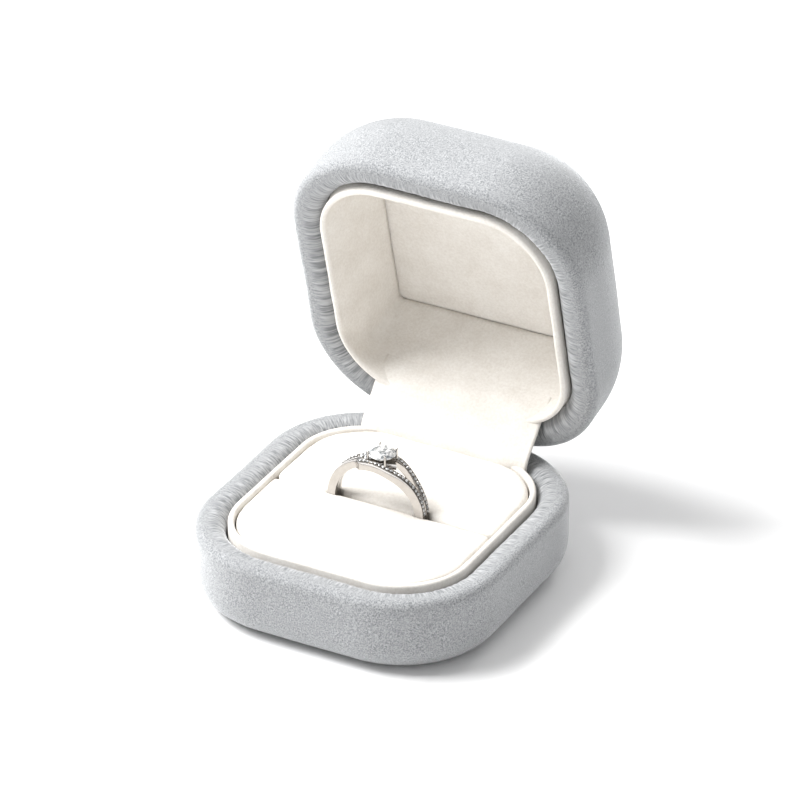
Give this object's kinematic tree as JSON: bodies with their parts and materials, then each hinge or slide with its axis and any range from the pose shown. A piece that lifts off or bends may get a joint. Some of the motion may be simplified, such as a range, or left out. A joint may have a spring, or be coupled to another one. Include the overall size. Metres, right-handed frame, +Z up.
{
  "type": "ring box",
  "caption": "Velvet-covered ring box with a domed hinged lid standing open and a solitaire ring in the slit between cream cushions.",
  "frame": {"origin": "centre of the base's underside, on the surface it rests on", "axes": "+X along the hinge to the box's right, +Y to the hinge side at the back, +Z up"},
  "size_m": [0.059, 0.082, 0.0765],
  "materials": {
    "velvet": "short grey pile",
    "cream_velvet": "cream pile",
    "sponge": "foam sheet",
    "moulded_plastic": "moulded",
    "board": "grey board",
    "hinge_steel": "bright zinc",
    "silver": "polished",
    "stone": "faceted"
  },
  "bodies": {
    "base": {"base_shell": "moulded_plastic", "base_padding": "sponge", "base_cover": "velvet", "underside_panel": "velvet", "base_liner": "cream_velvet", "cushion_board": "board", "front_cushion_foam": "sponge", "front_cushion_cover": "cream_velvet", "rear_cushion_foam": "sponge", "rear_cushion_cover": "cream_velvet", "hinge_base_leaf": "hinge_steel", "hinge_pin": "hinge_steel", "hinge_spring": "hinge_steel", "hinge_flap": "cream_velvet"},
    "lid": {"lid_shell": "moulded_plastic", "lid_padding": "sponge", "lid_cover": "velvet", "lid_liner": "cream_velvet", "lid_ceiling": "cream_velvet", "hinge_lid_leaf": "hinge_steel"},
    "ring": {"ring_shank": "silver", "ring_head": "silver", "centre_stone": "stone", "pave_stones": "stone"}
  },
  "joints": [
    {"name": "lid_hinge", "type": "hinge", "parent": "base", "child": "lid", "pos_m": [0, 0.02973, 0.01545], "axis": [1, 0, 0], "range_deg": [0, 75.5], "deforming": ["hinge_flap", "hinge_spring"]},
    {"name": "ring_lift", "type": "slide", "parent": "base", "child": "ring", "axis": [0, 0, 1], "range_m": [0, 0.004]}
  ]
}
